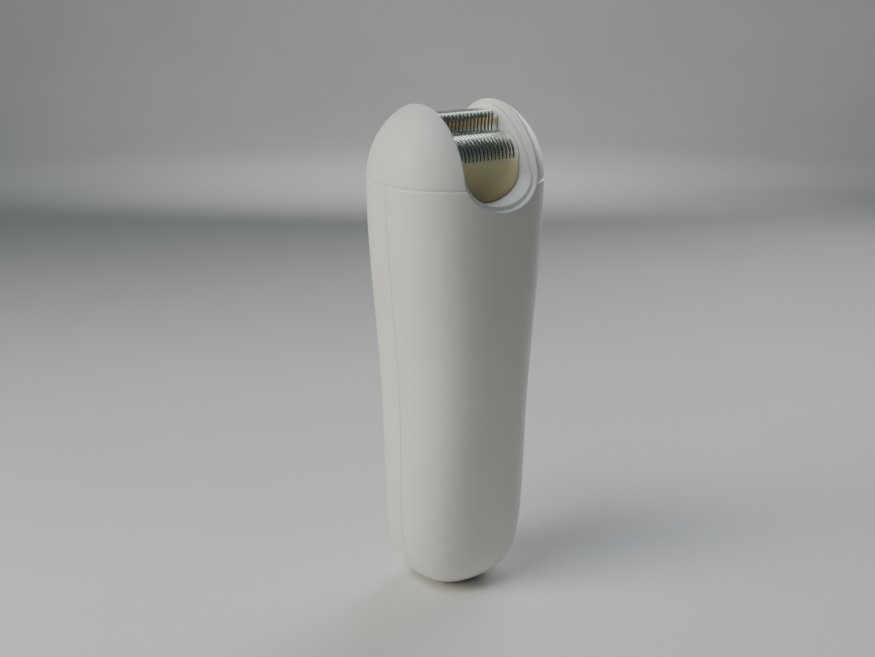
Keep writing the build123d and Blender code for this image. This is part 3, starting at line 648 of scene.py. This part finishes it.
def sharpen(piece, angle):
    """Mark edges steeper than an angle as sharp."""
    mesh = bmesh.new()
    mesh.from_mesh(piece.data)
    bmesh.ops.recalc_face_normals(mesh, faces=mesh.faces)
    for edge in mesh.edges:
        edge.smooth = not edge.is_manifold or edge.calc_face_angle() < math.radians(angle)
    mesh.to_mesh(piece.data)
    mesh.free()


front_discs = tweezer_discs("front_tweezer_rings", -DRUM_Y)
rear_discs = tweezer_discs("rear_tweezer_rings", DRUM_Y)


# ---------------------------------------------------------------- controls on the back
def slab_outline(p, half_x, half_z, centre_z, radius):
    """Distance to a rounded rectangle seen along Y."""
    dx = np.abs(p[0]) - half_x + radius
    dz = np.abs(p[2] - centre_z) - half_z + radius
    return np.hypot(np.maximum(dx, 0), np.maximum(dz, 0)) + np.minimum(np.maximum(dx, dz), 0) - radius


def slider_field(p):
    x, y, z = p
    off = handle_distance(p)
    slab = slab_outline(p, SLIDER_HALF_WIDTH, SLIDER_HALF_HEIGHT, SLIDER_Z, 3.0)
    cap = meet(meet(off - SLIDER_PROUD, slab, 0.6), 0.45 - off, 0.1)
    cap = np.maximum(cap, 15 - y)
    for i in range(5):
        rib_z = SLIDER_Z - 4 + 2 * i
        rib_y = handle_half_depth(rib_z) + SLIDER_PROUD - 0.05
        along = np.maximum(np.abs(x) - 2.4, 0)
        rib = np.sqrt(along ** 2 + (y - rib_y) ** 2 + (z - rib_z) ** 2) - 0.4
        cap = join(cap, rib, 0.15)
    stem = block_distance(p, (-STEM_HALF_WIDTH, 14.0, SLIDER_Z - STEM_HALF_HEIGHT),
                          (STEM_HALF_WIDTH, 21.0, SLIDER_Z + STEM_HALF_HEIGHT), 0.2)
    flange = block_distance(p, (-4.2, 15.6, SLIDER_Z - 5), (4.2, 16.8, SLIDER_Z + 5), 0.2)
    return np.minimum(np.minimum(cap, stem), flange)


def button_field(p):
    x, y, z = p
    slab = slab_outline(p, BUTTON_HALF_WIDTH, BUTTON_HALF_HEIGHT, BUTTON_Z, 1.2)
    cap = meet(np.maximum(slab, BUTTON_FOOT_Y - y), y - BUTTON_FACE_Y, 0.4)
    for i in range(3):
        groove_z = BUTTON_Z - 1.3 + 1.3 * i
        along = np.maximum(np.abs(x) - 2.8, 0)
        groove = np.sqrt(along ** 2 + (y - BUTTON_FACE_Y - 0.1) ** 2 + (z - groove_z) ** 2) - 0.32
        cap = meet(cap, -groove, 0.08)
    flange = block_distance(p, (-5.6, 18.8, BUTTON_Z - 3.6), (5.6, 19.8, BUTTON_Z + 3.6), 0.2)
    return np.minimum(cap, flange)


slider = moulded("power_slider_cap", slider_field, stations(-5, (5, 0.2)),
                 stations(13.6, (17.5, 0.35), (23.2, 0.16)), stations(45.5, (62.5, 0.2)))
button = moulded("release_button_cap", button_field, stations(-6, (6, 0.18)),
                 stations(17.6, (22, 0.3), (23.4, 0.12)), stations(107.9, (116.1, 0.18)))


def screw_field(p):
    """One shell screw, with its axis on the Y axis."""
    x, y, z = p
    around = np.hypot(x, z)
    head_ends = np.maximum(y - SCREW_HEAD_Y - SCREW_HEAD_HEIGHT, SCREW_HEAD_Y - y)
    head = meet(around - SCREW_HEAD_RADIUS, head_ends, 0.3)
    shank = np.maximum(around - SCREW_SHANK_RADIUS, np.maximum(y - SCREW_HEAD_Y - 0.2, -8 - y))
    body = np.minimum(head, shank)
    depth = SCREW_HEAD_Y + 0.8 - y
    for a, b in ((x, z), (z, x)):
        taper = 0.3 - 0.12 * (SCREW_HEAD_Y + SCREW_HEAD_HEIGHT - y)
        slot = np.maximum(np.maximum(np.abs(a) - taper, np.abs(b) - 1.2), depth)
        body = meet(body, -slot, 0.06)
    return body


def shell_screws():
    across = stations(-2.3, (2.3, 0.13))
    along = stations(-8.5, (10.4, 0.6), (13.0, 0.1))
    points, faces = surface_net(screw_field, across, along, across)
    points = settle(screw_field, points)
    slope = gradient(screw_field, points)
    slope /= np.maximum(np.linalg.norm(slope, axis=1), 1e-6)[:, None]
    every_point = np.concatenate([points + (sx, 0, sz) for sx, sz in SCREW_SITES])
    every_face = np.concatenate([faces + i * len(points) for i in range(len(SCREW_SITES))])
    every_normal = np.tile(slope, (len(SCREW_SITES), 1))
    return add_mesh("shell_screw_heads", every_point, every_face, every_normal)


screws = shell_screws()


def status_lens():
    """Small domed light pipe, flush with the back of the handle."""
    top = float(handle_half_depth(np.array(LIGHT_Z)))
    crown = 0.3
    foot, chamfer = 17.5, 0.15
    outline = [(foot, 0.0), (foot, LIGHT_RADIUS - chamfer),
               (foot + chamfer, LIGHT_RADIUS), (top - crown, LIGHT_RADIUS)]
    for angle in np.linspace(0.2, 1.4, 7):
        outline.append((top - crown + crown * math.sin(angle), LIGHT_RADIUS * math.cos(angle)))
    outline += [(top, 0.0)]
    points, faces = turned(outline, 48, (0, 0, LIGHT_Z), "y")
    piece = add_mesh("status_light_lens", points, faces)
    mesh = bmesh.new()
    mesh.from_mesh(piece.data)
    bmesh.ops.remove_doubles(mesh, verts=mesh.verts, dist=1e-7)
    bmesh.ops.dissolve_degenerate(mesh, edges=mesh.edges, dist=1e-7)
    mesh.to_mesh(piece.data)
    mesh.free()
    sharpen(piece, 40)
    return piece


lens = status_lens()


# ---------------------------------------------------------------- top deck
DECK_Z = 124.6
DECK_THICKNESS = 1.8
IDLER_SLOT_X = (14.1, 17.1)
IDLER_SLOT_HALF_DEPTH = 6.8


def deck_field(p):
    z = p[2]
    room = handle_distance(p) + WALL + 0.2
    top = DECK_Z + DECK_THICKNESS
    trough = np.maximum(opening_distance(p, 1.4), -opening_distance(p, SADDLE_OVERLAP))
    trough = np.maximum(trough, z - top)
    wings = np.maximum(np.maximum(DECK_Z - z, z - top), -opening_distance(p, 0.5))
    deck = meet(np.minimum(trough, wings), room, 0.2)
    deck = meet(deck, -notch_rim(p, 0.15), 0.15)
    slot = block_distance(p, (IDLER_SLOT_X[0], DRUM_Y - IDLER_SLOT_HALF_DEPTH, 110),
                          (IDLER_SLOT_X[1], DRUM_Y + IDLER_SLOT_HALF_DEPTH, 130), 0.3)
    return meet(deck, -slot, 0.2)


deck = moulded("top_deck_tray", deck_field, stations(-24, (24, 0.4)), stations(-21.4, (21.4, 0.4)),
               stations(118.4, (124, 0.3), (126.8, 0.2)))


# ---------------------------------------------------------------- materials
MIX_A, MIX_B, MIX_RESULT = 6, 7, 2    # the colour sockets of a Mix node


class Finish:
    """A Principled material with helpers for the textures that drive it."""

    def __init__(self, name, colour, roughness, metallic=0.0):
        self.material = bpy.data.materials.new(name)
        self.material.use_nodes = True
        self.tree = self.material.node_tree
        self.shader = self.tree.nodes["Principled BSDF"]
        self.set("Base Color", (*colour, 1))
        self.set("Roughness", roughness)
        self.set("Metallic", metallic)
        self.where = self.tree.nodes.new("ShaderNodeTexCoord").outputs["Object"]
        self.bump = None

    def set(self, socket, value):
        self.shader.inputs[socket].default_value = value

    def link(self, output, target):
        self.tree.links.new(output, target)

    def stretched(self, x, y, z):
        """Object coordinates scaled along each axis, in features per metre."""
        node = self.tree.nodes.new("ShaderNodeMapping")
        node.inputs["Scale"].default_value = (x, y, z)
        self.link(self.where, node.inputs["Vector"])
        return node.outputs["Vector"]

    def noise(self, scale, detail=3.0, rough=0.5, where=None):
        node = self.tree.nodes.new("ShaderNodeTexNoise")
        node.inputs["Scale"].default_value = scale
        node.inputs["Detail"].default_value = detail
        node.inputs["Roughness"].default_value = rough
        self.link(where or self.where, node.inputs["Vector"])
        return node.outputs["Fac"]

    def ramp(self, factor, low, high, start=0.3, stop=0.7):
        """Map a factor to a range of values."""
        node = self.tree.nodes.new("ShaderNodeMapRange")
        node.inputs["From Min"].default_value = start
        node.inputs["From Max"].default_value = stop
        node.inputs["To Min"].default_value = low
        node.inputs["To Max"].default_value = high
        self.link(factor, node.inputs["Value"])
        return node.outputs["Result"]

    def colours(self, factor, low, high):
        node = self.tree.nodes.new("ShaderNodeMix")
        node.data_type = "RGBA"
        node.inputs[MIX_A].default_value = (*low, 1)
        node.inputs[MIX_B].default_value = (*high, 1)
        self.link(factor, node.inputs["Factor"])
        self.link(node.outputs[MIX_RESULT], self.shader.inputs["Base Color"])

    def relief(self, height, strength, depth):
        """Bump from a height, with depth in millimetres; further calls stack."""
        node = self.tree.nodes.new("ShaderNodeBump")
        node.inputs["Strength"].default_value = strength
        node.inputs["Distance"].default_value = depth * MM
        self.link(height, node.inputs["Height"])
        if self.bump is not None:
            self.link(self.bump, node.inputs["Normal"])
        self.bump = node.outputs["Normal"]
        self.link(self.bump, self.shader.inputs["Normal"])


def shade(colour, factor):
    """A colour made lighter or darker."""
    return tuple(min(1.0, c * factor) for c in colour)


def moulded_plastic(name, colour, roughness, grain):
    """Moulded plastic: a faint unevenness of tone, and a fine spark-eroded texture."""
    finish = Finish(name, colour, roughness)
    tone = finish.ramp(finish.noise(28, 2), 0, 1)
    finish.colours(tone, shade(colour, 0.975), shade(colour, 1.02))
    patches = finish.ramp(finish.noise(420, 4, 0.6), roughness - 0.05, roughness + 0.05)
    finish.link(patches, finish.shader.inputs["Roughness"])
    finish.relief(finish.noise(3800, 3, 0.55), grain, 0.03)
    finish.relief(finish.noise(520, 2), grain * 0.35, 0.05)
    finish.set("Specular IOR Level", 0.45)
    return finish


def ground_metal(name, colour, roughness, lines, grain=0.08):
    """Metal with fine lines; lines gives the line density along each axis."""
    finish = Finish(name, colour, roughness, 1.0)
    streaks = finish.noise(1, 4, 0.6, finish.stretched(*lines))
    sheen = finish.ramp(streaks, roughness * 0.8, roughness * 1.3)
    finish.link(sheen, finish.shader.inputs["Roughness"])
    tone = finish.ramp(finish.noise(240, 3, 0.6), 0, 1)
    finish.colours(tone, shade(colour, 0.93), shade(colour, 1.04))
    finish.relief(streaks, grain, 0.012)
    return finish


def guard_metal(name, colour):
    """Polished steel, satin on the skirt, whose colour carries painted reflections: straw to olive on
    the skirt, darker downwards, and browner on the ridge sides.
    """
    finish = ground_metal(name, colour, 0.2, FINE_LINES, 0.02)
    tree = finish.tree
    split = tree.nodes.new("ShaderNodeSeparateXYZ")
    finish.link(finish.where, split.inputs["Vector"])
    height = split.outputs["Z"]
    # Colour ramp up the guard's height that holds painted reflections: olive floor reflection on the
    # skirt, darker towards its foot, paler at the slots' feet.
    reflection_ramp = tree.nodes.new("ShaderNodeValToRGB")
    stops = [(0.0, SKIRT_LOW_PAINTED_REFLECTION), (0.42, SKIRT_HIGH_PAINTED_REFLECTION), (0.55, LAND_FOOT_PAINTED_REFLECTION), (0.70, colour)]
    while len(reflection_ramp.color_ramp.elements) < len(stops):
        reflection_ramp.color_ramp.elements.new(0.5)
    for element, (place, tone) in zip(reflection_ramp.color_ramp.elements, stops):
        element.position = place
        element.color = (*tone, 1)
    finish.link(finish.ramp(height, 0, 1, REFLECTION_RAMP_FOOT_Z, RIDGE_TOP_Z * MM), reflection_ramp.inputs["Fac"])
    # Band on the ridge's front and back sides, coloured browner as a painted reflection of the floor.
    depth = tree.nodes.new("ShaderNodeMath")
    depth.operation = "ABSOLUTE"
    finish.link(split.outputs["Y"], depth.inputs[0])
    on_ridge = finish.ramp(depth.outputs["Value"], 1, 0, *RIDGE_REFLECTION_END_Y)
    above = finish.ramp(height, 0, 1, *RIDGE_REFLECTION_FOOT_Z)
    below = finish.ramp(height, 1, 0, *RIDGE_REFLECTION_TOP_Z)
    reflection_band = on_ridge
    for edge in (above, below):
        times = tree.nodes.new("ShaderNodeMath")
        times.operation = "MULTIPLY"
        finish.link(reflection_band, times.inputs[0])
        finish.link(edge, times.inputs[1])
        reflection_band = times.outputs["Value"]
    ridge_reflection_mix = tree.nodes.new("ShaderNodeMix")
    ridge_reflection_mix.data_type = "RGBA"
    finish.link(reflection_band, ridge_reflection_mix.inputs["Factor"])
    finish.link(reflection_ramp.outputs["Color"], ridge_reflection_mix.inputs[MIX_A])
    ridge_reflection_mix.inputs[MIX_B].default_value = (*RIDGE_SIDE_PAINTED_REFLECTION, 1)
    finish.link(ridge_reflection_mix.outputs[MIX_RESULT], finish.shader.inputs["Base Color"])
    satin = finish.ramp(height, 0.45, 0.25, *SATIN_TO_BRIGHT_Z)
    finish.link(satin, finish.shader.inputs["Roughness"])
    return finish


def windings(name, colour):
    """Lacquered copper turns over laminations."""
    finish = Finish(name, colour, 0.35, 0.85)
    turns = finish.noise(1, 1, 0.3, finish.stretched(300, 300, 5200))
    finish.colours(finish.ramp(turns, 0, 1), shade(colour, 0.55), shade(colour, 1.1))
    finish.relief(turns, 0.3, 0.06)
    return finish


def solder_mask(name, colour):
    """Circuit board: green resist over copper tracks."""
    finish = Finish(name, colour, 0.35)
    cells = finish.tree.nodes.new("ShaderNodeTexBrick")
    cells.inputs["Scale"].default_value = 420
    cells.inputs["Color1"].default_value = (*shade(colour, 0.8), 1)
    cells.inputs["Color2"].default_value = (*shade(colour, 1.3), 1)
    cells.inputs["Mortar"].default_value = (*shade(colour, 1.7), 1)
    finish.link(finish.stretched(1, 1, 1), cells.inputs["Vector"])
    finish.link(cells.outputs["Color"], finish.shader.inputs["Base Color"])
    finish.relief(cells.outputs["Fac"], 0.2, 0.03)
    finish.set("Coat Weight", 0.3)
    return finish


def shrink_sleeve(name, colour):
    finish = moulded_plastic(name, colour, 0.3, 0.04)
    finish.relief(finish.noise(1, 3, 0.5, finish.stretched(500, 500, 60)), 0.15, 0.05)
    return finish


def light_pipe(name, colour):
    finish = Finish(name, colour, 0.18)
    finish.link(finish.ramp(finish.noise(900, 3), 0.14, 0.24), finish.shader.inputs["Roughness"])
    tone = finish.ramp(finish.noise(700, 2), 0, 1)
    finish.colours(tone, shade(colour, 0.9), shade(colour, 1.05))
    finish.set("Transmission Weight", 0.35)
    finish.set("IOR", 1.49)
    return finish


# Where the guard's painted reflections and roughness change: heights and depths in metres.
REFLECTION_RAMP_FOOT_Z = 0.122
SATIN_TO_BRIGHT_Z = (0.1325, 0.1355)
RIDGE_REFLECTION_FOOT_Z = (0.1421, 0.1431)
RIDGE_REFLECTION_TOP_Z = (0.1444, 0.1455)
RIDGE_REFLECTION_END_Y = (0.0051, 0.0056)
# Painted reflection colours of the guard, from the skirt's foot up to the slots' feet.
SKIRT_LOW_PAINTED_REFLECTION = (0.35, 0.29, 0.165)
SKIRT_HIGH_PAINTED_REFLECTION = (0.86, 0.77, 0.48)
LAND_FOOT_PAINTED_REFLECTION = (0.86, 0.87, 0.76)
# Painted reflection of the floor on the ridge's sides.
RIDGE_SIDE_PAINTED_REFLECTION = (0.56, 0.45, 0.30)
FINE_LINES = (2600, 240, 240)
TURNED_LINES = (3200, 3200, 260)


def make_finishes():
    """One material for each of the record's slots."""
    made = {}
    for row in frame["record"]["materials"]:
        name, colour = row["slot"], tuple(row["base_color"])
        if name == "white_shell":
            finish = moulded_plastic(name, (0.80, 0.785, 0.75), 0.46, 0.10)
        elif name == "white_saddle":
            # The saddle's white is set lighter than the shell's; the extra lightness is painted
            # light, making up for fill that its shaded inner walls lack.
            finish = moulded_plastic(name, (0.92, 0.905, 0.885), 0.40, 0.06)
        elif name == "guard_steel":
            finish = guard_metal(name, (0.80, 0.86, 0.79))
        elif name in ("disc_steel", "shaft_steel", "screw_steel", "motor_steel", "nickel"):
            finish = ground_metal(name, colour, 0.28, TURNED_LINES)
        elif name == "bronze_bush":
            finish = ground_metal(name, colour, 0.42, (1500, 1500, 1500), 0.15)
        elif name == "copper":
            finish = windings(name, colour)
        elif name == "board":
            finish = solder_mask(name, colour)
        elif name == "cell_wrap":
            finish = shrink_sleeve(name, colour)
        elif name == "lens":
            finish = light_pipe(name, colour)
        elif name == "gear_nylon":
            finish = moulded_plastic(name, colour, 0.36, 0.05)
        else:
            finish = moulded_plastic(name, colour, 0.5, 0.09)
        made[name] = finish.material
    return made


finishes = make_finishes()

# ---------------------------------------------------------------- the pieces' bodies and finishes
PIECES = [
    (front_shell, "handle", "front_shell", "white_shell"),
    (rear_shell, "handle", "rear_shell", "white_shell"),
    (screws, "handle", "shell_screws", "screw_steel"),
    (deck, "handle", "top_deck", "grey_plastic"),
    (lens, "handle", "status_light", "lens"),
    (right_ear, "head", "right_ear_cover", "white_shell"),
    (left_ear, "head", "left_ear_cover", "white_shell"),
    (saddle, "head", "head_saddle", "white_saddle"),
    (guard, "head", "slotted_guard", "guard_steel"),
    (front_discs, "front_drum", "front_tweezer_discs", "disc_steel"),
    (rear_discs, "rear_drum", "rear_tweezer_discs", "disc_steel"),
    (slider, "power_switch", "power_slider", "grey_plastic"),
    (button, "head_release", "release_button", "grey_plastic"),
]
for piece, body, node, slot in PIECES:
    piece.data.materials.append(finishes[slot])
    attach(piece, body)
    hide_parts(node)

for row in frame["record"]["subparts"]:
    node = frame["nodes"][row["node"]]
    for held in node.material_slots:
        held.material = finishes[row["material_slot"]]
    if not node.hide_render:
        soften_edges(node, 0.06, 40, 1)

# ---------------------------------------------------------------- studio
FLOOR_RADIUS = 1.1
WALL_BEND = 0.7
FLOOR_SIDES = 96


def studio_floor():
    """Pale floor that curves up all round into a backdrop."""
    outline = [(0.0, r) for r in np.linspace(0, FLOOR_RADIUS, 8)]
    for angle in np.linspace(0, 80, 15)[1:]:
        turn = math.radians(angle)
        outline.append((WALL_BEND * (1 - math.cos(turn)), FLOOR_RADIUS + WALL_BEND * math.sin(turn)))
    mesh = bmesh.new()
    rings = []
    for z, r in outline:
        turns = np.linspace(0, 2 * math.pi, FLOOR_SIDES + 1)[:-1] if r else [0.0]
        rings.append([mesh.verts.new((r * math.cos(a), r * math.sin(a), z)) for a in turns])
    for low, high in zip(rings, rings[1:]):
        for i in range(FLOOR_SIDES):
            j = (i + 1) % FLOOR_SIDES
            if len(low) == 1:
                mesh.faces.new((low[0], high[i], high[j]))
            else:
                mesh.faces.new((low[i], high[i], high[j], low[j]))
    for face in mesh.faces:
        face.smooth = True
    data = bpy.data.meshes.new("studio_floor")
    mesh.to_mesh(data)
    mesh.free()
    floor = bpy.data.objects.new("studio_floor", data)
    bpy.context.scene.collection.objects.link(floor)
    finish = Finish("studio_floor", (0.74, 0.73, 0.71), 0.7)
    finish.colours(finish.ramp(finish.noise(6, 3), 0, 1), (0.72, 0.71, 0.69), (0.76, 0.75, 0.73))
    floor.data.materials.append(finish.material)


def soft_light(name, place, aim, size, power, colour, spread):
    """Round area light; size in metres, power in watts, spread in degrees."""
    lamp = bpy.data.lights.new(name, "AREA")
    lamp.shape = "DISK"
    lamp.size = size
    lamp.energy = power
    lamp.color = colour
    lamp.spread = math.radians(spread)
    holder = bpy.data.objects.new(name, lamp)
    holder.visible_camera = False
    holder.location = place
    holder.rotation_euler = (Vector(aim) - Vector(place)).to_track_quat("-Z", "Y").to_euler()
    bpy.context.scene.collection.objects.link(holder)


def studio():
    studio_floor()
    middle = (0, 0, 0.08)
    soft_light("key", (-0.585, 0.215, 0.30), middle, 0.40, 1.0, (1.0, 0.92, 0.76), 110)
    soft_light("top", (-0.50, 0.02, 0.94), (0.05, 0.1, 0.0), 0.5, 2.7, (0.86, 0.93, 1.0), 140)
    soft_light("rim", (0.80, 0.30, 0.34), middle, 0.5, 0.5, (0.92, 0.97, 1.0), 60)
    soft_light("strip", (0.62, 0.46, 0.78), middle, 0.42, 0.17, (0.93, 0.96, 1.0), 60)
    soft_light("backdrop", (0.35, 0.43, 0.42), (1.0, 1.22, 0.30), 0.3, 2.7, (0.95, 0.98, 1.0), 150)
    world = bpy.data.worlds.new("studio")
    world.use_nodes = True
    world.node_tree.nodes["Background"].inputs["Color"].default_value = (0.72, 0.95, 0.86, 1)
    world.node_tree.nodes["Background"].inputs["Strength"].default_value = 0.062
    bpy.context.scene.world = world


def camera():
    """The main view: in front and to the left of the object, looking slightly down."""
    lens_data = bpy.data.cameras.new("camera")
    lens_data.lens = 49.7
    lens_data.sensor_width = 36
    lens_data.clip_start = 0.01
    holder = bpy.data.objects.new("camera", lens_data)
    holder.location = (-0.22953, -0.27150, 0.18153)
    holder.rotation_euler = Vector((0.6103, 0.7441, -0.2716)).to_track_quat("-Z", "Y").to_euler()
    bpy.context.scene.collection.objects.link(holder)
    bpy.context.scene.camera = holder


studio()
camera()
